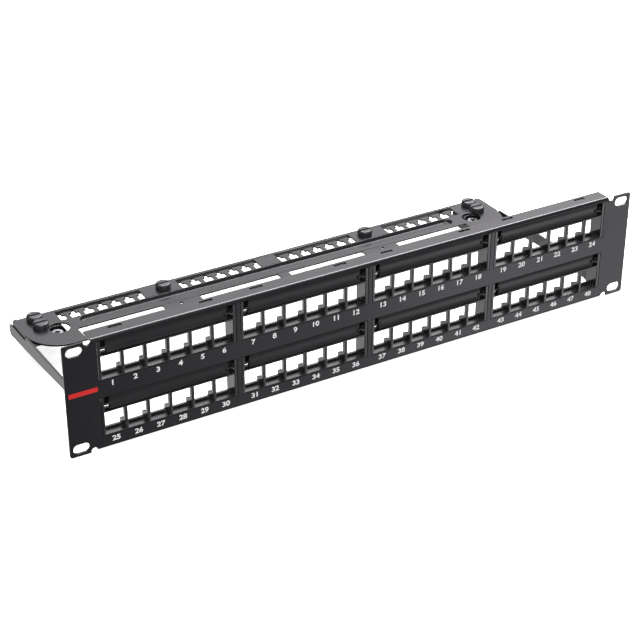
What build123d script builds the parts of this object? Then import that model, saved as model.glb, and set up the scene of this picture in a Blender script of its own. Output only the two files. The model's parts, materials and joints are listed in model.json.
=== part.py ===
from build123d import *
import os
from math import cos, pi

# Unloaded 48-port rack patch panel, two rack units high, with a rear cable tray.
# +X is right as seen from the front, +Y runs rearwards into the rack, +Z is up.
# The origin is the centre of the four rack slots, on the rear face of the ears.
# Every "depth" is measured rearwards from the front face of the steel panel.

# Steel panel
PANEL_WIDTH = 482.6
PANEL_HEIGHT = 88.1
SHEET = 1.5
BEND_OUTER = 2.5
FLANGE_HALF_LENGTH = 220.0
FLANGE_DEPTH = 13.5
EAR_CORNER = 2.0
RACK_SPACING_X = 465.1
RACK_SPACING_Z = 76.2
RACK_SLOT_LENGTH = 12.3
RACK_SLOT_WIDTH = 7.0
RELIEF_WIDTH = 5.5
RELIEF_DEPTH = 3.5

# Grid of port modules
COLUMN_PITCH = 109.0
COLUMNS = [COLUMN_PITCH * step for step in (-1.5, -0.5, 0.5, 1.5)]
ROWS = {"top": 26.0, "bottom": -18.45}
CUTOUT_HALF_WIDTH = 52.8
CUTOUT_HALF_HEIGHT = 15.5
LATCH_OFFSET = 34.6
LATCH_SLOT_LENGTH = 10.0
LATCH_SLOT_DEPTHS = (8.8, 11.6)

# Centre rail between the two rows
RAIL_Z = (-1.9, 2.0)
RAIL_SHEET = 1.2
RAIL_DEPTH = 13.0

# Port module, heights measured from its row centre
PORTS = 6
PORT_PITCH = 17.15
PORT_WIDTH = 14.8
PORT_Z = (-14.5, 3.0)
MODULE_HALF_WIDTH = 52.4
MODULE_BACK_HALF_WIDTH = 52.7
MODULE_Z = (-23.85, 16.4)
MODULE_FACE_Z = (-15.2, 15.2)
PLATE = 2.4
BEHIND_SHEET = SHEET + 0.1
BACK_FLANGE = 3.2
EASED_EDGE = 1.0
END_WALL_DEPTH = 12.5
RIB_DEPTH = 10.2
RIB_FRONT_TOP = -7.0
RIB_REAR_TOP = -10.4
LEDGE_BOTTOM = -16.2
LIP_DEPTHS = (6.2, 8.2)
LIP_TOP = -12.5
PORT_CHAMFER = 0.35
RECESS_HALF_WIDTH = PORT_PITCH * (PORTS - 1) / 2 + PORT_WIDTH / 2
RECESS_Z = (4.4, 15.4)
RECESS_DEPTH = 7.0
RECESS_BACK = 8.0
FINGER_DEPTH = 12.6
FINGER_HALF_WIDTH = 6.0
FINGER_THICKNESS = 1.2
TOOTH_HALF_WIDTH = 4.0
TOOTH_HEIGHT = 0.8
TOOTH_START = 1.0

# Label carrier, heights measured from its row centre
HINGE_DEPTH = 2.3
HINGE_Z = 8.6
PIN_RADIUS = 1.0
PIN_CLEARANCE = 0.06
PIN_HALF_SPAN = 51.8
CARRIER_HALF_LENGTH = 46.0
CARRIER_Z = (4.95, 15.05)
CARRIER_FRONT = 0.5
CARRIER_HOLLOW = 1.2
CARRIER_WALL = 1.1
CARRIER_BOSS_RADIUS = 1.8
CARRIER_BOSS_WIDTH = 1.5

# Rear cable tray
TRAY_TOP = -23.0
TRAY_SHEET = 1.5
TRAY_BOTTOM = TRAY_TOP - TRAY_SHEET
TRAY_HALF_WIDTH = 217.0
TRAY_DEPTHS = (112.7, 168.5)
TRAY_CORNER_CENTRE = (189.0, 139.7)
TRAY_CORNER_RADIUS = 27.0
TRAY_REAR_CORNER = 4.0
TRAY_LIP = 6.0
TRAY_LIP_HALF_LENGTH = 213.0
BEAD_CENTRE_DEPTH = 142.5
BEAD_WIDTH = 11.0
BEAD_HALF_LENGTH = 171.0
BEAD_DROP = 2.5
BEAD_SLOPE = 35.0
FRONT_WINDOWS = [(4.5, 75.0), (107.0, 178.0)]
FRONT_WINDOW_DEPTHS = (117.0, 132.0)
REAR_WINDOWS = [(9.2, 80.4), (112.4, 183.6)]
REAR_WINDOW_DEPTHS = (149.0, 164.0)
WINDOW_CORNER = 1.2
TIE_POSTS = 6
TIE_PITCH = 11.4
TIE_INSET = 7.1
TIE_STEM = 3.4
TIE_HEAD = 8.4
TIE_HEAD_DEPTHS = (156.0, 159.5)
SIGHT_HOLE = (92.5, 128.0)
SIGHT_HOLE_RADIUS = 1.6

# Tray arms, given for the right-hand arm
ARM_OUTER = 217.8
ARM_INNER = ARM_OUTER - SHEET
ARM_TOP_FRONT = -20.3
ARM_TOP_REAR = -22.5
ARM_STEP_DEPTH = 137.0
ARM_END_DEPTH = 171.5
ARM_BOTTOM_FRONT = -29.0
ARM_BOTTOM_REAR = -36.2
GUSSET_DEPTH = 40.0
FOOT_Z = (-38.0, -8.0)
FOOT_OUTER = 224.6
LEDGE_INNER = 184.2
LEDGE_DEPTHS = (126.0, 165.0)
LEDGE_WEB_BOTTOM = -36.0
ARM_BEND = 2.2

# Fasteners
FOOT_STUD_X = 221.2
FOOT_STUD_Z = (-32.0, -14.0)
FOOT_STUD_RADIUS = 1.5
FOOT_STUD_HEAD = (2.1, 1.0)
FOOT_STUD_LENGTH = 6.5
FOOT_NUT = (5.5, 2.4)
TRAY_SCREW_SPOTS = [(93.6, 157.6), (201.0, 147.4), (201.0, 160.2)]
TRAY_SCREW_RADIUS = 2.5
TRAY_SCREW_END = -32.0
HEAD_RADIUS = 6.2
HEAD_HEIGHT = 4.5
HEAD_EDGE = 1.6
DRIVE_SLOT = (2.2, 2.4)
TRAY_NUT = (8.0, 4.0)
EARTH_NUT_SPOT = (191.3, 139.4)
EARTH_NUT_HEAD_RADIUS = 4.4
EARTH_NUT_SHANK_RADIUS = 3.4
EARTH_NUT_BORE = 2.07
EARTH_NUT_Z = (-30.0, -26.2)
EARTH_CUP_RADIUS = 6.2
EARTH_CUP_WALL = 0.8
EARTH_CUP_FLOOR = -28.6
EARTH_CUP_MOUTH = 0.5
PORTHOLE_SPOT = (189.3, 139.2)
PORTHOLE_RADIUS = 8.0
HOLE_CLEARANCE = 0.2
THREAD_CLEARANCE = 0.05

LEDGE_TOP = TRAY_BOTTOM
LEDGE_BOTTOM_FACE = LEDGE_TOP - SHEET
HALF_WIDTH = PANEL_WIDTH / 2
HALF_HEIGHT = PANEL_HEIGHT / 2
FLANGE_INNER = HALF_HEIGHT - SHEET
PORT_CENTRES = [PORT_PITCH * (port - (PORTS - 1) / 2) for port in range(PORTS)]


def y_at(depth):
    """Row-frame y of a depth behind the panel's front face."""
    return depth - SHEET


def block(x, depth, z):
    """Box between two x values, two depths and two heights."""
    size = [abs(high - low) for low, high in (x, depth, z)]
    middle = [(low + high) / 2 for low, high in (x, depth, z)]
    return Pos(middle[0], y_at(middle[1]), middle[2]) * Box(*size)


def bar(outline, x):
    """Straight bar along X with a closed outline of (depth, z) corners."""
    corners = [(x[0], y_at(depth), z) for depth, z in outline]
    face = make_face(Polyline(*corners, close=True))
    return extrude(face, amount=x[1] - x[0], dir=(1, 0, 0))


def rod_x(x, depth, z, radius):
    """Round rod along X."""
    rod = Rot(0, 90, 0) * Cylinder(radius, x[1] - x[0])
    return Pos((x[0] + x[1]) / 2, y_at(depth), z) * rod


def rod_y(x, depth, z, radius):
    """Round rod along Y."""
    rod = Rot(90, 0, 0) * Cylinder(radius, depth[1] - depth[0])
    return Pos(x, y_at((depth[0] + depth[1]) / 2), z) * rod


def rod_z(x, depth, z, radius):
    """Upright round rod."""
    return Pos(x, y_at(depth), (z[0] + z[1]) / 2) * Cylinder(radius, z[1] - z[0])


def hex_nut(across_flats, thickness, bore):
    """Hexagon nut standing on z = 0, axis along Z."""
    corner_radius = across_flats / 2 / cos(pi / 6)
    prism = extrude(RegularPolygon(corner_radius, 6), amount=thickness)
    return prism - Pos(0, 0, thickness / 2) * Cylinder(bore, 2 * thickness)


def both_sides(piece):
    """The piece and its mirror image across the middle of the panel."""
    return [piece, mirror(piece, about=Plane.YZ)]


def edges_near(solid, direction, depth, z):
    """Edges of a solid that run along one axis at a given depth and height."""
    found = []
    for edge in solid.edges().filter_by(direction):
        centre = edge.center()
        if abs(centre.Y - y_at(depth)) < 0.01 and abs(centre.Z - z) < 0.01:
            found.append(edge)
    return found


def make_front_panel():
    """Folded steel channel with two ears, eight cutouts and latch slots."""
    channel = block((-FLANGE_HALF_LENGTH, FLANGE_HALF_LENGTH), (0, FLANGE_DEPTH),
                    (-HALF_HEIGHT, HALF_HEIGHT))
    outer_bends = edges_near(channel, Axis.X, 0, HALF_HEIGHT)
    outer_bends += edges_near(channel, Axis.X, 0, -HALF_HEIGHT)
    channel = fillet(outer_bends, BEND_OUTER)
    hollow = block((-HALF_WIDTH, HALF_WIDTH), (SHEET, 2 * FLANGE_DEPTH),
                   (-FLANGE_INNER, FLANGE_INNER))
    inner_bends = edges_near(hollow, Axis.X, SHEET, FLANGE_INNER)
    inner_bends += edges_near(hollow, Axis.X, SHEET, -FLANGE_INNER)
    panel = channel - fillet(inner_bends, BEND_OUTER - SHEET)

    ear = block((FLANGE_HALF_LENGTH - 1, HALF_WIDTH), (0, SHEET), (-HALF_HEIGHT, HALF_HEIGHT))
    tips = [edge for edge in ear.edges().filter_by(Axis.Y) if edge.center().X > HALF_WIDTH - 0.1]
    ear = fillet(tips, EAR_CORNER)
    relief_x = (FLANGE_HALF_LENGTH, FLANGE_HALF_LENGTH + RELIEF_WIDTH)
    relief_centre = HALF_HEIGHT - RELIEF_DEPTH + RELIEF_WIDTH / 2
    for side in (1, -1):
        ear -= rod_y(sum(relief_x) / 2, (-1, 2 * SHEET), side * relief_centre, RELIEF_WIDTH / 2)
        mouth_z = sorted((side * relief_centre, side * (HALF_HEIGHT + 1)))
        ear -= block((FLANGE_HALF_LENGTH - 2, relief_x[1]), (-1, 2 * SHEET), mouth_z)
        root_z = sorted((side * (HALF_HEIGHT - RELIEF_DEPTH), side * (HALF_HEIGHT + 1)))
        ear -= block((FLANGE_HALF_LENGTH - 2, FLANGE_HALF_LENGTH), (-1, 2 * SHEET), root_z)
        oblong = extrude(SlotOverall(RACK_SLOT_LENGTH, RACK_SLOT_WIDTH), amount=5, both=True)
        place = Pos(RACK_SPACING_X / 2, 0, side * RACK_SPACING_Z / 2) * Rot(90, 0, 0)
        ear -= place * oblong
    for piece in both_sides(ear):
        panel += piece

    for column in COLUMNS:
        for row in ROWS.values():
            panel -= block((column - CUTOUT_HALF_WIDTH, column + CUTOUT_HALF_WIDTH), (-1, 2 * SHEET),
                           (row - CUTOUT_HALF_HEIGHT, row + CUTOUT_HALF_HEIGHT))
        for latch in (column - LATCH_OFFSET, column + LATCH_OFFSET):
            slot_x = (latch - LATCH_SLOT_LENGTH / 2, latch + LATCH_SLOT_LENGTH / 2)
            panel -= block(slot_x, LATCH_SLOT_DEPTHS, (-HALF_HEIGHT - 1, -FLANGE_INNER + 1))
            panel -= block(slot_x, LATCH_SLOT_DEPTHS, (FLANGE_INNER - 1, HALF_HEIGHT + 1))
    for stud_z in FOOT_STUD_Z:
        for stud_x in (-FOOT_STUD_X, FOOT_STUD_X):
            head_radius, head_depth = FOOT_STUD_HEAD
            panel -= rod_y(stud_x, (SHEET - head_depth, SHEET), stud_z, head_radius)
    return panel


def make_centre_rail():
    """Thin channel welded behind the panel between the rows, with latch slots in its legs."""
    rail = block((-FLANGE_HALF_LENGTH, FLANGE_HALF_LENGTH), (SHEET, RAIL_DEPTH), RAIL_Z)
    rail -= block((-HALF_WIDTH, HALF_WIDTH), (SHEET + RAIL_SHEET, 2 * RAIL_DEPTH),
                  (RAIL_Z[0] + RAIL_SHEET, RAIL_Z[1] - RAIL_SHEET))
    for column in COLUMNS:
        for latch in (column - LATCH_OFFSET, column + LATCH_OFFSET):
            slot_x = (latch - LATCH_SLOT_LENGTH / 2, latch + LATCH_SLOT_LENGTH / 2)
            rail -= block(slot_x, LATCH_SLOT_DEPTHS, (RAIL_Z[0] - 1, RAIL_Z[1] + 1))
    return rail


def latch_tooth(x, base, height):
    """Wedge on a latch finger: a ramp in front and a square face behind."""
    front, rear = LATCH_SLOT_DEPTHS
    ramp = [(front + TOOTH_START, base), (rear - 0.8, base + height), (rear - 0.2, base + height),
            (rear - 0.2, base)]
    return bar(ramp, (x - TOOTH_HALF_WIDTH, x + TOOTH_HALF_WIDTH))


def make_port_module():
    """Moulded insert with six keystone openings and a recess for the label carrier."""
    wide = (-MODULE_HALF_WIDTH, MODULE_HALF_WIDTH)
    low, high = MODULE_Z
    module = block(wide, (0, PLATE), MODULE_FACE_Z)
    module += block((-MODULE_BACK_HALF_WIDTH, MODULE_BACK_HALF_WIDTH), (BEHIND_SHEET, BACK_FLANGE),
                    MODULE_Z)
    module += block(wide, (BEHIND_SHEET, RECESS_BACK), (PORT_Z[1], high))
    module += block(wide, (BEHIND_SHEET, LIP_DEPTHS[1]), (LEDGE_BOTTOM, PORT_Z[0]))
    for side in (-1, 1):
        wall_x = sorted((side * RECESS_HALF_WIDTH, side * MODULE_HALF_WIDTH))
        module += block(wall_x, (BEHIND_SHEET, END_WALL_DEPTH), (LEDGE_BOTTOM, high))

    # long edges eased to clear the inside radius of the steel flanges
    for edge, inward in ((high, -1), (low, 1)):
        corner = [(BEHIND_SHEET, edge), (BEHIND_SHEET + EASED_EDGE, edge),
                  (BEHIND_SHEET, edge + inward * EASED_EDGE)]
        module -= bar(corner, (-MODULE_BACK_HALF_WIDTH - 1, MODULE_BACK_HALF_WIDTH + 1))

    recess_x = (-RECESS_HALF_WIDTH, RECESS_HALF_WIDTH)
    module -= block(recess_x, (-1, RECESS_DEPTH), RECESS_Z)
    for centre in PORT_CENTRES:
        port_x = (centre - PORT_WIDTH / 2, centre + PORT_WIDTH / 2)
        module -= block(port_x, (-1, 2 * PLATE), PORT_Z)
        mouth = Rectangle(PORT_WIDTH + 2 * PORT_CHAMFER, PORT_Z[1] - PORT_Z[0] + 2 * PORT_CHAMFER)
        place = Pos(centre, y_at(0), sum(PORT_Z) / 2) * Rot(-90, 0, 0)
        module -= place * extrude(mouth, amount=2 * PORT_CHAMFER, taper=45)
        module += block(port_x, LIP_DEPTHS, (LEDGE_BOTTOM, LIP_TOP))
    rib_width = PORT_PITCH - PORT_WIDTH
    rib = [(PLATE - 1, LEDGE_BOTTOM + 1), (PLATE - 1, RIB_FRONT_TOP), (PLATE, RIB_FRONT_TOP),
           (RIB_DEPTH, RIB_REAR_TOP), (RIB_DEPTH, LEDGE_BOTTOM), (PLATE, LEDGE_BOTTOM)]
    for centre in PORT_CENTRES[1:]:
        middle = centre - PORT_PITCH / 2
        module += bar(rib, (middle - rib_width / 2, middle + rib_width / 2))

    for latch in (-LATCH_OFFSET, LATCH_OFFSET):
        finger_x = (latch - FINGER_HALF_WIDTH, latch + FINGER_HALF_WIDTH)
        module += block(finger_x, (BACK_FLANGE - 1, FINGER_DEPTH), (high - FINGER_THICKNESS, high))
        module += block(finger_x, (BACK_FLANGE - 1, FINGER_DEPTH), (low, low + FINGER_THICKNESS))
        module += latch_tooth(latch, high - 0.2, TOOTH_HEIGHT + 0.2)
        module += latch_tooth(latch, low + 0.2, -TOOTH_HEIGHT - 0.2)
        gusset = [(BACK_FLANGE - 1, low + 0.5), (FINGER_DEPTH - 5, low + 0.5),
                  (BACK_FLANGE - 1, low + 6)]
        for gusset_x in (latch - FINGER_HALF_WIDTH, latch + FINGER_HALF_WIDTH - 1.2):
            module += bar(gusset, (gusset_x, gusset_x + 1.2))

    socket_radius = PIN_RADIUS + PIN_CLEARANCE
    for side in (-1, 1):
        socket_x = sorted((side * (RECESS_HALF_WIDTH - 1), side * (MODULE_BACK_HALF_WIDTH + 1)))
        module -= rod_x(socket_x, HINGE_DEPTH, HINGE_Z, socket_radius)
        # core opening behind the pin, at the foot of the recess back wall
        opening_x = sorted((side * (RECESS_HALF_WIDTH - 6.5), side * (RECESS_HALF_WIDTH - 1.5)))
        module -= block(opening_x, (RECESS_DEPTH - 0.6, RECESS_BACK + 1), (PORT_Z[1] - 1, 6.5))
    return module


def make_label_carrier():
    """Concave label strip with a pin on a boss at each end."""
    low, high = CARRIER_Z
    middle = (low + high) / 2
    x = -CARRIER_HALF_LENGTH
    back = CARRIER_FRONT + CARRIER_WALL
    front_low = (x, y_at(CARRIER_FRONT), low)
    front_high = (x, y_at(CARRIER_FRONT), high)
    back_low = (x, y_at(back), low)
    back_high = (x, y_at(back), high)
    section = make_face([
        ThreePointArc(front_low, (x, y_at(CARRIER_FRONT + CARRIER_HOLLOW), middle), front_high),
        Line(front_high, back_high),
        ThreePointArc(back_high, (x, y_at(back + CARRIER_HOLLOW), middle), back_low),
        Line(back_low, front_low),
    ])
    carrier = extrude(section, amount=2 * CARRIER_HALF_LENGTH, dir=(1, 0, 0))
    for side in (-1, 1):
        end = side * CARRIER_HALF_LENGTH
        boss_x = sorted((end, end - side * CARRIER_BOSS_WIDTH))
        carrier += rod_x(boss_x, HINGE_DEPTH, HINGE_Z, CARRIER_BOSS_RADIUS)
        pin_x = sorted((end - side * CARRIER_BOSS_WIDTH, side * PIN_HALF_SPAN))
        carrier += rod_x(pin_x, HINGE_DEPTH, HINGE_Z, PIN_RADIUS)
    return carrier


def tray_outline():
    """Plan of the tray: rounded front corners that start at a small step in each side."""
    centre_x, centre_depth = TRAY_CORNER_CENTRE
    front, rear = TRAY_DEPTHS
    arc_middle = TRAY_CORNER_RADIUS / 2 ** 0.5
    arc_start = (centre_x, y_at(centre_depth - TRAY_CORNER_RADIUS))
    arc_end = (centre_x + TRAY_CORNER_RADIUS, y_at(centre_depth))
    right = Polyline((0, y_at(front)), arc_start)
    corner = ThreePointArc(arc_start, (centre_x + arc_middle, y_at(centre_depth) - arc_middle), arc_end)
    side = Polyline(arc_end, (TRAY_HALF_WIDTH, y_at(centre_depth)),
                    (TRAY_HALF_WIDTH, y_at(rear)), (0, y_at(rear)), (0, y_at(front)))
    half = make_face([right, corner, side])
    rear_corner = [vertex for vertex in half.vertices()
                   if vertex.X > TRAY_HALF_WIDTH - 0.1 and vertex.Y > y_at(rear) - 0.1]
    return fillet(rear_corner, TRAY_REAR_CORNER)


def rounded_window(x, depths):
    """Cutter for a rectangular window with rounded corners."""
    sketch = RectangleRounded(x[1] - x[0], depths[1] - depths[0], WINDOW_CORNER)
    place = Pos(sum(x) / 2, y_at(sum(depths) / 2), TRAY_BOTTOM - 1)
    return place * extrude(sketch, amount=TRAY_SHEET + 2)


def tie_window(x):
    """Cutter for a rear window that leaves a row of T-shaped tie posts standing."""
    cutter = rounded_window(x, REAR_WINDOW_DEPTHS)
    through = (TRAY_BOTTOM - 2, TRAY_TOP + 2)
    for post in range(TIE_POSTS):
        post_x = x[0] + TIE_INSET + post * TIE_PITCH
        cutter -= block((post_x - TIE_STEM / 2, post_x + TIE_STEM / 2),
                        (REAR_WINDOW_DEPTHS[0] - 1, TIE_HEAD_DEPTHS[1]), through)
        cutter -= block((post_x - TIE_HEAD / 2, post_x + TIE_HEAD / 2), TIE_HEAD_DEPTHS, through)
    return cutter


def make_cable_tray():
    """Perforated tray with a pressed bead, tie posts and a turned-down rear lip."""
    half = extrude(tray_outline(), amount=TRAY_SHEET)
    half = Pos(0, 0, TRAY_BOTTOM) * half
    tray = half + mirror(half, about=Plane.YZ)
    rear = TRAY_DEPTHS[1]
    bend_start = rear - 2 * TRAY_SHEET
    lip_x = (-TRAY_LIP_HALF_LENGTH, TRAY_LIP_HALF_LENGTH)
    lip = block(lip_x, (bend_start, rear), (TRAY_TOP - TRAY_LIP, TRAY_TOP))
    lip = fillet(edges_near(lip, Axis.X, rear, TRAY_TOP), 1.5 * TRAY_SHEET)
    inside = block((-HALF_WIDTH, HALF_WIDTH), (bend_start - 1, rear - TRAY_SHEET),
                   (TRAY_TOP - TRAY_LIP - 1, TRAY_BOTTOM))
    lip -= fillet(edges_near(inside, Axis.X, rear - TRAY_SHEET, TRAY_BOTTOM), TRAY_SHEET / 2)
    tray -= block(lip_x, (bend_start, rear + 1), (TRAY_BOTTOM - 1, TRAY_TOP + 1))
    tray += lip

    bead_length = 2 * BEAD_HALF_LENGTH
    place = Pos(0, y_at(BEAD_CENTRE_DEPTH), TRAY_TOP)
    outside = extrude(SlotOverall(bead_length + 1, BEAD_WIDTH + 1), amount=-BEAD_DROP - TRAY_SHEET,
                      taper=BEAD_SLOPE)
    inside = extrude(SlotOverall(bead_length, BEAD_WIDTH), amount=-BEAD_DROP, taper=BEAD_SLOPE)
    tray += place * outside
    tray -= place * inside

    for side in (-1, 1):
        for window in FRONT_WINDOWS:
            tray -= rounded_window(sorted(side * edge for edge in window), FRONT_WINDOW_DEPTHS)
        for window in REAR_WINDOWS:
            tray -= tie_window(sorted(side * edge for edge in window))
        through = (TRAY_BOTTOM - 1, TRAY_TOP + 1)
        porthole_x, porthole_depth = PORTHOLE_SPOT
        tray -= rod_z(side * porthole_x, porthole_depth, through, PORTHOLE_RADIUS)
        for screw_x, screw_depth in TRAY_SCREW_SPOTS:
            tray -= rod_z(side * screw_x, screw_depth, through, TRAY_SCREW_RADIUS + HOLE_CLEARANCE)
        tray -= rod_z(side * SIGHT_HOLE[0], SIGHT_HOLE[1], through, SIGHT_HOLE_RADIUS)
    return tray


def make_arm():
    """Right-hand arm: foot on the panel, gusseted side wall and a ledge under the tray."""
    ledge_front, ledge_rear = LEDGE_DEPTHS
    ledge = block((LEDGE_INNER, ARM_OUTER), LEDGE_DEPTHS, (LEDGE_WEB_BOTTOM, LEDGE_TOP))
    bends = [edge for edge in ledge.edges().filter_by(Axis.Y) if edge.center().Z > LEDGE_TOP - 0.1]
    ledge = fillet(bends, ARM_BEND)
    hollow = block((LEDGE_INNER + SHEET, ARM_INNER), (ledge_front - 1, ledge_rear + 1),
                   (LEDGE_WEB_BOTTOM - 1, LEDGE_BOTTOM_FACE))
    bends = [edge for edge in hollow.edges().filter_by(Axis.Y)
             if edge.center().Z > LEDGE_BOTTOM_FACE - 0.1]
    ledge -= fillet(bends, ARM_BEND - SHEET)
    ledge -= block((ARM_INNER - 1, ARM_OUTER + 1), (ledge_front - 1, ledge_rear + 1),
                   (LEDGE_WEB_BOTTOM - 1, LEDGE_TOP - ARM_BEND - 1))
    # the inner web stops short of the ledge's rear end
    ledge -= block((LEDGE_INNER - 1, LEDGE_INNER + 3 * SHEET), (ledge_rear - 5, ledge_rear + 1),
                   (LEDGE_WEB_BOTTOM - 1, LEDGE_TOP + 1))

    step = ARM_STEP_DEPTH
    wall = [(SHEET, FOOT_Z[1]), (2 * SHEET, FOOT_Z[1]), (GUSSET_DEPTH, ARM_TOP_FRONT - 0.5),
            (step, ARM_TOP_REAR), (step + 1, LEDGE_TOP - ARM_BEND),
            (ARM_END_DEPTH - 2, LEDGE_TOP - ARM_BEND),
            (ARM_END_DEPTH, LEDGE_TOP - ARM_BEND - 2), (ARM_END_DEPTH, ARM_BOTTOM_REAR + 3),
            (ARM_END_DEPTH - 3, ARM_BOTTOM_REAR), (GUSSET_DEPTH, ARM_BOTTOM_FRONT),
            (2 * SHEET, FOOT_Z[0]), (SHEET, FOOT_Z[0])]
    arm = bar(wall, (ARM_INNER, ARM_OUTER))
    arm += block((ARM_INNER, FOOT_OUTER), (SHEET, 2 * SHEET), FOOT_Z)
    arm += ledge
    for stud_z in FOOT_STUD_Z:
        arm -= rod_y(FOOT_STUD_X, (0, 4 * SHEET), stud_z, FOOT_STUD_RADIUS + HOLE_CLEARANCE)
    through = (LEDGE_BOTTOM_FACE - 1, LEDGE_TOP + 1)
    for screw_x, screw_depth in TRAY_SCREW_SPOTS[1:]:
        arm -= rod_z(screw_x, screw_depth, through, TRAY_SCREW_RADIUS + HOLE_CLEARANCE)
    return with_earth_cup(arm)


def with_earth_cup(arm):
    """The arm with a drawn cup in its ledge, below the tray's porthole, for the earthing nut."""
    x, depth = EARTH_NUT_SPOT
    cup_bottom = EARTH_CUP_FLOOR - EARTH_CUP_WALL
    arm += rod_z(x, depth, (cup_bottom, LEDGE_BOTTOM_FACE + 0.2), EARTH_CUP_RADIUS + EARTH_CUP_WALL)
    arm -= rod_z(x, depth, (EARTH_CUP_FLOOR, LEDGE_TOP + 1), EARTH_CUP_RADIUS)
    mouth = Cone(EARTH_CUP_RADIUS, EARTH_CUP_RADIUS + EARTH_CUP_MOUTH, EARTH_CUP_MOUTH)
    arm -= Pos(x, y_at(depth), LEDGE_TOP - EARTH_CUP_MOUTH / 2) * mouth
    arm -= rod_z(x, depth, (cup_bottom - 1, EARTH_CUP_FLOOR + 1), EARTH_NUT_SHANK_RADIUS)
    return arm


def make_foot_studs():
    """Clinched studs that stand out of the back of the panel, two for each arm."""
    studs = []
    head_radius, head_depth = FOOT_STUD_HEAD
    for stud_z in FOOT_STUD_Z:
        stud = rod_y(FOOT_STUD_X, (SHEET - head_depth, SHEET), stud_z, head_radius)
        stud += rod_y(FOOT_STUD_X, (SHEET - head_depth, SHEET + FOOT_STUD_LENGTH), stud_z,
                      FOOT_STUD_RADIUS)
        studs += both_sides(stud)
    return Compound(children=studs)


def make_foot_nuts():
    """Nuts that clamp the arm feet on their studs."""
    nuts = []
    for stud_z in FOOT_STUD_Z:
        nut = Rot(-90, 0, 0) * hex_nut(*FOOT_NUT, FOOT_STUD_RADIUS + THREAD_CLEARANCE)
        nuts += both_sides(Pos(FOOT_STUD_X, y_at(2 * SHEET), stud_z) * nut)
    return Compound(children=nuts)


def make_slotted_screw():
    """Slotted screw with a flat, round-edged head that stands on z = 0."""
    edge_centre_x = HEAD_RADIUS - HEAD_EDGE
    edge_centre_z = HEAD_HEIGHT - HEAD_EDGE
    rim = (HEAD_RADIUS, 0, edge_centre_z)
    crown = (edge_centre_x, 0, HEAD_HEIGHT)
    shoulder = (edge_centre_x + HEAD_EDGE * cos(pi / 4), 0, edge_centre_z + HEAD_EDGE * cos(pi / 4))
    end = TRAY_SCREW_END - TRAY_TOP
    section = make_face([
        Polyline((0, 0, end), (TRAY_SCREW_RADIUS, 0, end), (TRAY_SCREW_RADIUS, 0, 0),
                 (HEAD_RADIUS, 0, 0), rim),
        ThreePointArc(rim, shoulder, crown),
        Polyline(crown, (0, 0, HEAD_HEIGHT), (0, 0, end)),
    ])
    screw = revolve(section, axis=Axis.Z)
    slot_width, slot_depth = DRIVE_SLOT
    screw -= Pos(0, 0, HEAD_HEIGHT - slot_depth / 2) * Box(3 * HEAD_RADIUS, slot_width, slot_depth)
    return screw


def make_tray_screws():
    """Six slotted screws: two for each arm ledge and one in each half of the tray."""
    screws = []
    for screw_x, screw_depth in TRAY_SCREW_SPOTS:
        screws += both_sides(Pos(screw_x, y_at(screw_depth), TRAY_TOP) * make_slotted_screw())
    return Compound(children=screws)


def make_tray_nuts():
    """Nuts under the tray or under the arm ledges."""
    nuts = []
    across_flats, thickness = TRAY_NUT
    for screw_x, screw_depth in TRAY_SCREW_SPOTS:
        seat = LEDGE_BOTTOM_FACE if screw_x > LEDGE_INNER else TRAY_BOTTOM
        nut = hex_nut(across_flats, thickness, TRAY_SCREW_RADIUS + THREAD_CLEARANCE)
        nuts += both_sides(Pos(screw_x, y_at(screw_depth), seat - thickness) * nut)
    return Compound(children=nuts)


def make_earth_nuts():
    """Threaded clinch nuts in the arm ledges, reached through the tray's portholes."""
    x, depth = EARTH_NUT_SPOT
    bottom, top = EARTH_NUT_Z
    nut = rod_z(x, depth, (EARTH_CUP_FLOOR, top), EARTH_NUT_HEAD_RADIUS)
    nut += rod_z(x, depth, (bottom, EARTH_CUP_FLOOR), EARTH_NUT_SHANK_RADIUS)
    nut -= rod_z(x, depth, (bottom - 1, top + 1), EARTH_NUT_BORE)
    return Compound(children=both_sides(nut))


def make_parts():
    """Every node's shape, by name."""
    parts = {
        "front_panel": make_front_panel(),
        "centre_rail": make_centre_rail(),
        "cable_tray": make_cable_tray(),
        "foot_studs": make_foot_studs(),
        "foot_nuts": make_foot_nuts(),
        "tray_screws": make_tray_screws(),
        "tray_nuts": make_tray_nuts(),
        "earth_nuts": make_earth_nuts(),
    }
    parts["arm_right"], parts["arm_left"] = both_sides(make_arm())
    module = make_port_module()
    carrier = make_label_carrier()
    for row, row_z in ROWS.items():
        for number, column in enumerate(COLUMNS, start=1):
            parts[f"port_module_{row}_{number}"] = Pos(column, 0, row_z) * module
            parts[f"label_carrier_{row}_{number}"] = Pos(column, 0, row_z) * carrier
    return parts


os.makedirs("parts", exist_ok=True)
for node, shape in make_parts().items():
    export_step(shape, f"parts/{node}.step")
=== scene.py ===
"""Looks for a 48-position rack patch panel with a rear cable tray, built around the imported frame."""

import itertools
import json
import math

import bmesh
import bpy
from mathutils import Matrix, Vector


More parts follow.
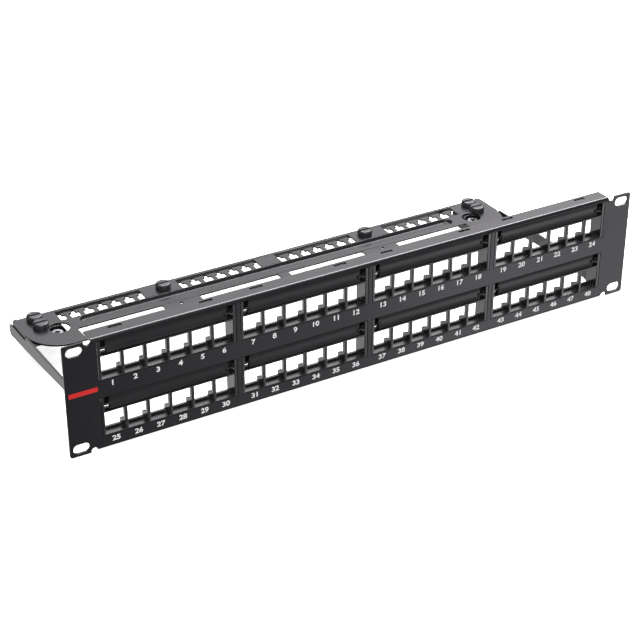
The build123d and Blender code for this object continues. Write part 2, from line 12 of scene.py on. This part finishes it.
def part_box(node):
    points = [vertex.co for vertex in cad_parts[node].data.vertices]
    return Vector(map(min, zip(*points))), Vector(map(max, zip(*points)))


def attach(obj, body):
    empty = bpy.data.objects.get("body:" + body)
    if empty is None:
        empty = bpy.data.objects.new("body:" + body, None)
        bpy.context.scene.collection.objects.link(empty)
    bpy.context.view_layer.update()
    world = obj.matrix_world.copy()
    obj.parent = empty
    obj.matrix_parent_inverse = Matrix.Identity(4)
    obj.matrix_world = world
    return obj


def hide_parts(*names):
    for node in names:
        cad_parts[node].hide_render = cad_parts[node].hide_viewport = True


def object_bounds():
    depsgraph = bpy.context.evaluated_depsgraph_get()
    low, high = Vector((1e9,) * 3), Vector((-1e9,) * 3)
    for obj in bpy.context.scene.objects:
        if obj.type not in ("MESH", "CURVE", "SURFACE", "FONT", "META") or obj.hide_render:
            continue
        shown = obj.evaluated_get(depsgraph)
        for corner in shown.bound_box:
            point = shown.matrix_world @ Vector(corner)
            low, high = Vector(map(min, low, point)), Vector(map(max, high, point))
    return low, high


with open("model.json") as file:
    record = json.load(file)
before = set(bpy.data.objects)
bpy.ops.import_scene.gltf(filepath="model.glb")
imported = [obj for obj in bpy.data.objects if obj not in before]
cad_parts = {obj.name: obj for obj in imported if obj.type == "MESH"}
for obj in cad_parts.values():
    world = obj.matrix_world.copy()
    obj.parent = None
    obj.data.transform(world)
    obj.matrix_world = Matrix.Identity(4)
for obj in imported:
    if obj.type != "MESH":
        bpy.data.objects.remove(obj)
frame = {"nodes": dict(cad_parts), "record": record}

cad_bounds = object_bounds()
MM = 0.001

# Corners this close are one corner, and edges this steep are sharp and get rounded
JOIN_DISTANCE = 0.002 * MM
SHARP_ANGLE = math.radians(32.0)
POINTED_ANGLE = math.radians(40.0)
# how far a module's rear flange is taken out, and how close to its end a corner is to go with it
FLANGE_REACH = 0.09 * MM
SAME_PLACE = 0.01 * MM
# width of the rounded edges, for each material slot
ROUNDING = {
    "panel_steel": 0.2 * MM,
    "tray_steel": 0.2 * MM,
    "module_plastic": 0.13 * MM,
    "carrier_plastic": 0.13 * MM,
    "screw_black": 0.15 * MM,
    "zinc_steel": 0.12 * MM,
}

# Printing on the steel face
FACE_Y = -1.5 * MM
INK_THICKNESS = 0.04 * MM
COLUMNS = [109.0 * MM * step for step in (-1.5, -0.5, 0.5, 1.5)]
PORTS = 6
PORT_PITCH = 17.15 * MM
# first number and height above the panel's middle, for each row of openings
NUMBER_ROWS = {"top": (1, 7.0 * MM), "bottom": (25, -37.4 * MM)}
DIGIT_HEIGHT = 4.2 * MM
DIGIT_WIDENING = 1.15
# half thickness and added boldness of the digits, before they are brought to size
TEXT_EXTRUDE = 0.5
DIGIT_BOLDNESS = 0.035
MARK_X = (-239.0 * MM, -217.5 * MM)
MARK_Z = (3.2 * MM, 6.8 * MM)
MARK_CORNER = 0.8 * MM
MARK_CORNER_STEPS = 6

# Fasteners
# distance from the middle, depth and underside of the nut of each tray screw, in millimetres
SCREW_SPOTS = [(93.6, 156.1, -28.6), (201.0, 145.9, -30.1), (201.0, 158.7, -30.1)]
SCREW_END = -32.0 * MM
SCREW_RADIUS = 2.5 * MM
SCREW_PITCH = 0.8 * MM
STUD_X = 221.2 * MM
STUD_HEIGHTS = (-32.0 * MM, -14.0 * MM)
STUD_THREAD_Y = (3.95 * MM, 6.4 * MM)
STUD_RADIUS = 1.5 * MM
STUD_PITCH = 0.5 * MM
# steps in one turn of a thread, and the shape of its ridge in parts of the pitch
THREAD_STEPS = 20
RIDGE_HEIGHT = 0.3
RIDGE_ROOT = 0.1
RIDGE_FOOT = 0.35
RIDGE_CREST = 0.06


# ---------------------------------------------------------------- camera and stage

CAMERA_PLACE = Vector((-0.58035, -0.91585, 0.604))
CAMERA_AIM = Vector((0.4421, 0.7518, -0.4891))
CAMERA_LENS = 94.57
SLIGHT_PINK = (1.0, 0.98, 1.0)
SLIGHT_VIOLET = (0.98, 0.96, 1.0)
FLOOR_HALF_WIDTH = 12.0


def aim_level(light, direction):
    """Turns a light so that it looks along a direction, with its width along world X."""
    back = -direction.normalized()
    across = Vector((1.0, 0.0, 0.0))
    across = (across - across.project(back)).normalized()
    light.rotation_euler = Matrix((across, back.cross(across), back)).transposed().to_euler()


def make_camera():
    """Level camera at the place and angle from which the panel is seen."""
    data = bpy.data.cameras.new("camera")
    data.lens = CAMERA_LENS
    data.sensor_width = 36.0
    data.clip_start = 0.05
    camera = bpy.data.objects.new("camera", data)
    camera.location = CAMERA_PLACE
    camera.rotation_euler = CAMERA_AIM.to_track_quat("-Z", "Y").to_euler()
    bpy.context.scene.collection.objects.link(camera)
    bpy.context.scene.camera = camera


def make_light(name, place, target, size, power, colour):
    """Soft rectangular light that faces a target point."""
    data = bpy.data.lights.new(name, "AREA")
    data.shape = "RECTANGLE"
    data.size, data.size_y = size
    data.energy = power
    data.color = colour
    light = bpy.data.objects.new(name, data)
    light.location = place
    aim_level(light, Vector(target) - Vector(place))
    bpy.context.scene.collection.objects.link(light)


def make_lights():
    """Large soft lights above and behind, and weak ones that lift the front and the left side."""
    centre = (0.0, 0.05, 0.0)
    make_light("overhead_strip", (0.60, 0.68, 1.28), centre, (1.7, 0.62), 58.0, SLIGHT_PINK)
    make_light("overhead_softbox", (0.0, -0.25, 1.4), centre, (1.5, 0.5), 3.0, SLIGHT_PINK)
    make_light("rear_softbox", (0.9, 1.5, 1.0), centre, (2.2, 1.1), 11.0, SLIGHT_PINK)
    make_light("front_right_low", (1.2, -1.0, -0.6), (0.15, 0.0, 0.0), (0.9, 0.9), 3.3, SLIGHT_VIOLET)
    make_light("front_low", (0.6, -1.0, -0.6), (0.0, 0.0, 0.0), (0.6, 0.9), 0.8, SLIGHT_VIOLET)
    make_light("rear_left_low", (-0.95, 1.2, -0.75), (-0.2, 0.1, 0.0), (0.9, 0.9), 3.0, SLIGHT_PINK)
    make_light("camera_side_fill", (-0.5, -1.4, 0.9), centre, (1.0, 0.8), 18.0, SLIGHT_PINK)


def make_world():
    """Dim, even grey light from all round."""
    world = bpy.data.worlds.new("studio")
    world.use_nodes = True
    background = world.node_tree.nodes["Background"]
    background.inputs["Color"].default_value = (0.9, 0.92, 0.95, 1.0)
    background.inputs["Strength"].default_value = 0.25
    bpy.context.scene.world = world


def make_floor(low_z):
    """Wide pale floor under the object."""
    mesh = bpy.data.meshes.new("floor")
    half = FLOOR_HALF_WIDTH
    corners = [(-half, -half, low_z), (half, -half, low_z), (half, half, low_z), (-half, half, low_z)]
    mesh.from_pydata(corners, [], [(0, 1, 2, 3)])
    floor = bpy.data.objects.new("floor", mesh)
    bpy.context.scene.collection.objects.link(floor)
    material = bpy.data.materials.new("pale_floor")
    material.use_nodes = True
    shader = material.node_tree.nodes["Principled BSDF"]
    shader.inputs["Base Color"].default_value = (0.9, 0.9, 0.9, 1.0)
    shader.inputs["Roughness"].default_value = 0.9
    shader.inputs["Emission Color"].default_value = (1.0, 0.99, 1.0, 1.0)
    shader.inputs["Emission Strength"].default_value = 0.75
    mesh.materials.append(material)
    floor.visible_glossy = False
    floor.visible_diffuse = False
    floor.visible_shadow = False


# ---------------------------------------------------------------- materials

def new_material(name):
    """New material, with its node tree and its shader node."""
    material = bpy.data.materials.new(name)
    material.use_nodes = True
    return material, material.node_tree, material.node_tree.nodes["Principled BSDF"]


def object_place(tree):
    """Place on the object, in metres."""
    return tree.nodes.new("ShaderNodeTexCoord").outputs["Object"]


def noise(tree, coordinates, scale, detail):
    """Noise from 0 to 1, with about as many waves in a metre as its scale."""
    node = tree.nodes.new("ShaderNodeTexNoise")
    node.inputs["Scale"].default_value = scale
    node.inputs["Detail"].default_value = detail
    tree.links.new(coordinates, node.inputs["Vector"])
    return node.outputs["Fac"]


def remap(tree, value, low, high, start=0.3, end=0.7):
    """Takes a value's range from start to end onto the range from low to high."""
    node = tree.nodes.new("ShaderNodeMapRange")
    node.inputs["From Min"].default_value = start
    node.inputs["From Max"].default_value = end
    node.inputs["To Min"].default_value = low
    node.inputs["To Max"].default_value = high
    tree.links.new(value, node.inputs["Value"])
    return node.outputs["Result"]


def two_colours(tree, value, dark, light, start=0.35, end=0.65):
    """Blends from a dark to a light colour as a value goes from start to end."""
    node = tree.nodes.new("ShaderNodeValToRGB")
    node.color_ramp.elements[0].position = start
    node.color_ramp.elements[0].color = (*dark, 1.0)
    node.color_ramp.elements[1].position = end
    node.color_ramp.elements[1].color = (*light, 1.0)
    tree.links.new(value, node.inputs["Fac"])
    return node.outputs["Color"]


def bump(tree, shader, height, distance, strength=1.0, below=None):
    """Fine relief from a height, on top of the relief below it, if any."""
    node = tree.nodes.new("ShaderNodeBump")
    node.inputs["Strength"].default_value = strength
    node.inputs["Distance"].default_value = distance
    tree.links.new(height, node.inputs["Height"])
    if below is not None:
        tree.links.new(below, node.inputs["Normal"])
    tree.links.new(node.outputs["Normal"], shader.inputs["Normal"])
    return node.outputs["Normal"]


def powder_coat(name, dark, light, smooth, rough):
    """Satin powder coat: fine orange peel, a grain in the gloss and faint clouding."""
    material, tree, shader = new_material(name)
    place = object_place(tree)
    clouds = noise(tree, place, scale=22.0, detail=3.0)
    grain = noise(tree, place, scale=1500.0, detail=2.0)
    peel = noise(tree, place, scale=520.0, detail=1.0)
    tree.links.new(two_colours(tree, clouds, dark, light), shader.inputs["Base Color"])
    tree.links.new(remap(tree, grain, smooth, rough), shader.inputs["Roughness"])
    orange_peel = bump(tree, shader, peel, distance=0.009 * MM, strength=0.4)
    bump(tree, shader, grain, distance=0.0025 * MM, strength=0.4, below=orange_peel)
    return material


def moulded_plastic(name, dark, light, smooth, rough, shine=0.5):
    """Black injection-moulded plastic with a spark-eroded texture and faint flow marks."""
    material, tree, shader = new_material(name)
    place = object_place(tree)
    stretch = tree.nodes.new("ShaderNodeMapping")
    stretch.inputs["Scale"].default_value = (0.25, 1.0, 1.0)
    tree.links.new(place, stretch.inputs["Vector"])
    flow = noise(tree, stretch.outputs["Vector"], scale=120.0, detail=2.0)
    grain = noise(tree, place, scale=2600.0, detail=2.0)
    tree.links.new(two_colours(tree, flow, dark, light), shader.inputs["Base Color"])
    tree.links.new(remap(tree, flow, smooth, rough), shader.inputs["Roughness"])
    bump(tree, shader, grain, distance=0.01 * MM, strength=0.5)
    shader.inputs["Specular IOR Level"].default_value = shine
    return material


def zinc_plate(name):
    """Bright zinc plate with a fine, uneven grain."""
    material, tree, shader = new_material(name)
    place = object_place(tree)
    spangle = noise(tree, place, scale=900.0, detail=3.0)
    tree.links.new(two_colours(tree, spangle, (0.30, 0.29, 0.30), (0.42, 0.41, 0.42)),
                   shader.inputs["Base Color"])
    tree.links.new(remap(tree, spangle, 0.22, 0.42), shader.inputs["Roughness"])
    shader.inputs["Metallic"].default_value = 1.0
    bump(tree, shader, spangle, distance=0.01 * MM)
    return material


def printed_ink(name, dark, light):
    """Screen-printed ink, slightly uneven in cover."""
    material, tree, shader = new_material(name)
    place = object_place(tree)
    cover = noise(tree, place, scale=1800.0, detail=2.0)
    tree.links.new(two_colours(tree, cover, dark, light, 0.25, 0.5), shader.inputs["Base Color"])
    tree.links.new(remap(tree, cover, 0.45, 0.6, start=0.0, end=1.0), shader.inputs["Roughness"])
    return material


def make_materials():
    """The record's material slots and the two printing inks."""
    return {
        "panel_steel": powder_coat("panel_powder_coat", (0.009, 0.008, 0.0095), (0.012, 0.0105, 0.0125),
                                   0.235, 0.265),
        "tray_steel": powder_coat("tray_powder_coat", (0.010, 0.009, 0.0105), (0.013, 0.0115, 0.0135),
                                  0.24, 0.275),
        "module_plastic": moulded_plastic("module_abs", (0.008, 0.0072, 0.0083), (0.011, 0.010, 0.0115),
                                          0.20, 0.28, shine=0.85),
        "carrier_plastic": moulded_plastic("carrier_abs", (0.009, 0.008, 0.0095), (0.012, 0.011, 0.0125),
                                           0.30, 0.38),
        # painted light: the screw heads' base colour is several times lighter than the panel steel's
        # black, painting in the light their heads catch; the threads share it
        "screw_black": powder_coat("screw_black", (0.034, 0.032, 0.035), (0.045, 0.043, 0.046),
                                   0.28, 0.36),
        "zinc_steel": zinc_plate("zinc_plate"),
        "white_ink": printed_ink("white_ink", (0.90, 0.90, 0.90), (0.96, 0.96, 0.96)),
        "red_ink": printed_ink("red_ink", (0.62, 0.012, 0.012), (0.75, 0.02, 0.018)),
    }


# ---------------------------------------------------------------- mesh helpers

def new_piece(name, mesh, material, body):
    """A piece of one material that rides on a body."""
    piece = bpy.data.objects.new(name, mesh)
    bpy.context.scene.collection.objects.link(piece)
    mesh.materials.clear()
    mesh.materials.append(material)
    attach(piece, body)
    return piece


def sharpen(mesh):
    """Smooth shading with hard edges where faces meet steeply."""
    mesh.shade_smooth()
    mesh.set_sharp_from_angle(angle=SHARP_ANGLE)


def applied(piece):
    """The piece's mesh with its modifiers applied."""
    bpy.context.view_layer.update()
    evaluated = piece.evaluated_get(bpy.context.evaluated_depsgraph_get())
    mesh = bpy.data.meshes.new_from_object(evaluated)
    piece.modifiers.clear()
    piece.data = mesh
    return mesh


def joined_copy(node):
    """A CAD node's mesh with the corners of its triangles joined."""
    mesh = frame["nodes"][node].data.copy()
    work = bmesh.new()
    work.from_mesh(mesh)
    bmesh.ops.remove_doubles(work, verts=work.verts, dist=JOIN_DISTANCE)
    mark_edges(work)
    work.to_mesh(mesh)
    work.free()
    return mesh


def mark_edges(work):
    """Marks the sharp edges for rounding, but not where two of them run into a thin point."""
    weight = work.edges.layers.float.new("bevel_weight_edge")
    sharp = {edge for edge in work.edges if edge.is_manifold and edge.calc_face_angle() > SHARP_ANGLE}
    pointed = set()
    for corner in work.verts:
        meeting = [edge for edge in corner.link_edges if edge in sharp]
        for first, second in itertools.combinations(meeting, 2):
            towards_first = first.other_vert(corner).co - corner.co
            towards_second = second.other_vert(corner).co - corner.co
            if towards_first.angle(towards_second) < POINTED_ANGLE:
                pointed.update((first, second))
    for edge in sharp - pointed:
        edge[weight] = 1.0


def fit_flange(mesh, node):
    """Takes a module's rear flange out to the edge of its cutout, so that no light shows there."""
    low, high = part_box(node)
    for vertex in mesh.vertices:
        if vertex.co.x < low[0] + SAME_PLACE:
            vertex.co.x -= FLANGE_REACH
        elif vertex.co.x > high[0] - SAME_PLACE:
            vertex.co.x += FLANGE_REACH


def soften(node, material, slot, width):
    """A CAD node's own shape with its sharp edges rounded, standing in for the node."""
    piece = new_piece(f"{node}_finish", joined_copy(node), material, body_of(node))
    if slot == "module_plastic":
        fit_flange(piece.data, node)
    rounding = piece.modifiers.new("rounding", "BEVEL")
    rounding.width = width
    rounding.segments = 2
    rounding.limit_method = "WEIGHT"
    rounding.use_clamp_overlap = False
    rounding.miter_outer = "MITER_ARC"
    sharpen(applied(piece))
    flat_faces = piece.modifiers.new("flat_faces", "WEIGHTED_NORMAL")
    flat_faces.keep_sharp = True
    applied(piece)
    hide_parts(node)


def body_of(node):
    """Name of the body that a CAD node belongs to."""
    for name, nodes in frame["record"]["behaviour"]["bodies"].items():
        if node in nodes:
            return name
    raise KeyError(node)


# ---------------------------------------------------------------- printing

def upright_text(text, place_x, place_z):
    """Mesh of a short bold text that stands on the steel face, centred on a point."""
    curve = bpy.data.curves.new("text", "FONT")
    curve.body = text
    curve.extrude = TEXT_EXTRUDE
    curve.bevel_depth = DIGIT_BOLDNESS
    curve.bevel_resolution = 0
    holder = bpy.data.objects.new("text", curve)
    bpy.context.scene.collection.objects.link(holder)
    bpy.context.view_layer.update()
    mesh = bpy.data.meshes.new_from_object(holder.evaluated_get(bpy.context.evaluated_depsgraph_get()))
    bpy.data.objects.remove(holder)
    low_x, high_x = span(mesh, 0)
    low_y, high_y = span(mesh, 1)
    scale = DIGIT_HEIGHT / (high_y - low_y)
    centred = Matrix.Translation((-(low_x + high_x) / 2, -(low_y + high_y) / 2, 0.0))
    thickness = 2.0 * (TEXT_EXTRUDE + DIGIT_BOLDNESS)
    sized = Matrix.Diagonal((DIGIT_WIDENING * scale, scale, INK_THICKNESS / thickness, 1.0))
    stood = Matrix.Rotation(math.radians(90.0), 4, "X")
    placed = Matrix.Translation((place_x, FACE_Y - INK_THICKNESS / 2, place_z))
    mesh.transform(placed @ stood @ sized @ centred)
    return mesh


def span(mesh, axis):
    """Lowest and highest place of a mesh's corners along an axis."""
    places = [vertex.co[axis] for vertex in mesh.vertices]
    return min(places), max(places)


def joined(meshes, name):
    """One mesh made of several."""
    work = bmesh.new()
    for mesh in meshes:
        work.from_mesh(mesh)
    whole = bpy.data.meshes.new(name)
    work.to_mesh(whole)
    work.free()
    return whole


def make_port_numbers(material):
    """Port numbers below each row of openings, six for each module."""
    for row, (first, place_z) in NUMBER_ROWS.items():
        meshes = []
        for column, centre in enumerate(COLUMNS):
            for port in range(PORTS):
                place_x = centre + PORT_PITCH * (port - (PORTS - 1) / 2)
                meshes.append(upright_text(str(first + column * PORTS + port), place_x, place_z))
        new_piece(f"port_numbers_{row}", joined(meshes, f"port_numbers_{row}"), material, "frame")


def rounded_outline(x_range, z_range, radius, steps):
    """Corner points of a rounded rectangle, in order."""
    points = []
    corners = ((x_range[1], z_range[1], 0), (x_range[0], z_range[1], 90),
               (x_range[0], z_range[0], 180), (x_range[1], z_range[0], 270))
    for corner_x, corner_z, start in corners:
        inward_x = -1 if corner_x == x_range[1] else 1
        inward_z = -1 if corner_z == z_range[1] else 1
        for step in range(steps + 1):
            angle = math.radians(start + 90.0 * step / steps)
            points.append((corner_x + inward_x * radius + radius * math.cos(angle),
                           corner_z + inward_z * radius + radius * math.sin(angle)))
    return points


def make_plain_mark(material):
    """Plain printed bar on the left ear."""
    work = bmesh.new()
    outline = rounded_outline(MARK_X, MARK_Z, MARK_CORNER, MARK_CORNER_STEPS)
    face = work.faces.new([work.verts.new((x, FACE_Y, z)) for x, z in outline])
    raised = bmesh.ops.extrude_face_region(work, geom=[face])
    corners = [item for item in raised["geom"] if isinstance(item, bmesh.types.BMVert)]
    bmesh.ops.translate(work, verts=corners, vec=(0.0, -INK_THICKNESS, 0.0))
    bmesh.ops.recalc_face_normals(work, faces=work.faces)
    mesh = bpy.data.meshes.new("ear_mark")
    work.to_mesh(mesh)
    work.free()
    new_piece("ear_mark", mesh, material, "frame")


# ---------------------------------------------------------------- threads

def helical_ridge(radius, pitch, length):
    """Ridge of a screw thread around the Z axis, from z = 0 upwards."""
    root = radius - RIDGE_ROOT * pitch
    crest = radius + RIDGE_HEIGHT * pitch
    foot_half_width = RIDGE_FOOT * pitch
    crest_half_width = RIDGE_CREST * pitch
    profile = [(root, -foot_half_width), (crest, -crest_half_width),
               (crest, crest_half_width), (root, foot_half_width)]
    turns = (length - 2.0 * foot_half_width) / pitch
    count = int(turns * THREAD_STEPS) + 1
    work = bmesh.new()
    rings = []
    for step in range(count):
        angle = 2.0 * math.pi * step / THREAD_STEPS
        lift = foot_half_width + pitch * step / THREAD_STEPS
        rings.append([work.verts.new((r * math.cos(angle), r * math.sin(angle), lift + z))
                      for r, z in profile])
    for ring, following in zip(rings, rings[1:]):
        for place in range(len(profile)):
            after = (place + 1) % len(profile)
            work.faces.new((ring[place], following[place], following[after], ring[after]))
    work.faces.new(rings[0])
    work.faces.new(list(reversed(rings[-1])))
    bmesh.ops.recalc_face_normals(work, faces=work.faces)
    mesh = bpy.data.meshes.new("thread")
    work.to_mesh(mesh)
    work.free()
    return mesh


def make_threads(screw_material, stud_material):
    """Threads on the bare ends of the tray screws and of the foot studs."""
    for side in (-1, 1):
        for number, (x, y, nut_bottom) in enumerate(SCREW_SPOTS, start=1):
            mesh = helical_ridge(SCREW_RADIUS, SCREW_PITCH, nut_bottom * MM - SCREW_END)
            mesh.transform(Matrix.Translation((side * x * MM, y * MM, SCREW_END)))
            sharpen(mesh)
            new_piece(f"screw_thread_{'left' if side < 0 else 'right'}_{number}", mesh,
                      screw_material, "frame")
        for number, height in enumerate(STUD_HEIGHTS, start=1):
            mesh = helical_ridge(STUD_RADIUS, STUD_PITCH, STUD_THREAD_Y[1] - STUD_THREAD_Y[0])
            turned = Matrix.Rotation(math.radians(-90.0), 4, "X")
            mesh.transform(Matrix.Translation((side * STUD_X, STUD_THREAD_Y[0], height)) @ turned)
            sharpen(mesh)
            new_piece(f"stud_thread_{'left' if side < 0 else 'right'}_{number}", mesh,
                      stud_material, "frame")


# ---------------------------------------------------------------- build

make_camera()
make_world()
make_lights()
make_floor(cad_bounds[0][2])
materials = make_materials()

for subpart in frame["record"]["subparts"]:
    slot = subpart["material_slot"]
    soften(subpart["node"], materials[slot], slot, ROUNDING[slot])

make_port_numbers(materials["white_ink"])
make_plain_mark(materials["red_ink"])
make_threads(materials["screw_black"], materials["zinc_steel"])

bpy.context.scene.view_settings.view_transform = "Standard"
